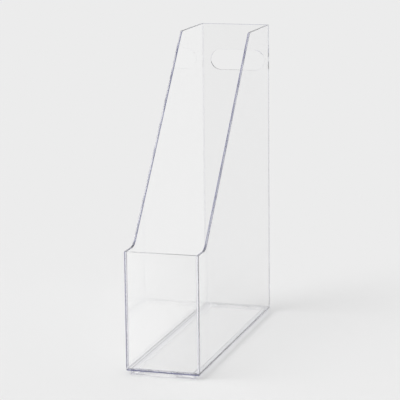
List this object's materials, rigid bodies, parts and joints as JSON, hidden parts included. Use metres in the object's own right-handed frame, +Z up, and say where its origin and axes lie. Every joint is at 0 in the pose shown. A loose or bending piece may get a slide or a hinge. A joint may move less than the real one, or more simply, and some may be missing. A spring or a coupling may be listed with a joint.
{
  "type": "magazine file holder",
  "caption": "Clear upright magazine file holder with a tall back, sloped open sides, a low front and a hand slot in the rear panel.",
  "frame": {"origin": "middle of the footprint, on the surface that the holder stands on", "axes": "+X to the right seen from the low front, +Y from the low front to the tall back, +Z up"},
  "size_m": [0.074, 0.26, 0.31],
  "materials": {
    "clear_sheet": "clear polished acrylic sheet with a faint blue-violet tint at its edges",
    "cured_cement": "clear cured solvent cement"
  },
  "bodies": {
    "root": {"base_panel": "clear_sheet", "left_side_panel": "clear_sheet", "right_side_panel": "clear_sheet", "front_panel": "clear_sheet", "rear_panel": "clear_sheet", "left_foot_strip": "clear_sheet", "right_foot_strip": "clear_sheet", "front_foot_strip": "clear_sheet", "rear_foot_strip": "clear_sheet", "left_side_to_base_seam": "cured_cement", "right_side_to_base_seam": "cured_cement", "front_to_base_seam": "cured_cement", "rear_to_base_seam": "cured_cement", "front_to_left_side_seam": "cured_cement", "front_to_right_side_seam": "cured_cement", "rear_to_left_side_seam": "cured_cement", "rear_to_right_side_seam": "cured_cement", "left_foot_seam": "cured_cement", "right_foot_seam": "cured_cement", "front_foot_seam": "cured_cement", "rear_foot_seam": "cured_cement"}
  },
  "joints": []
}
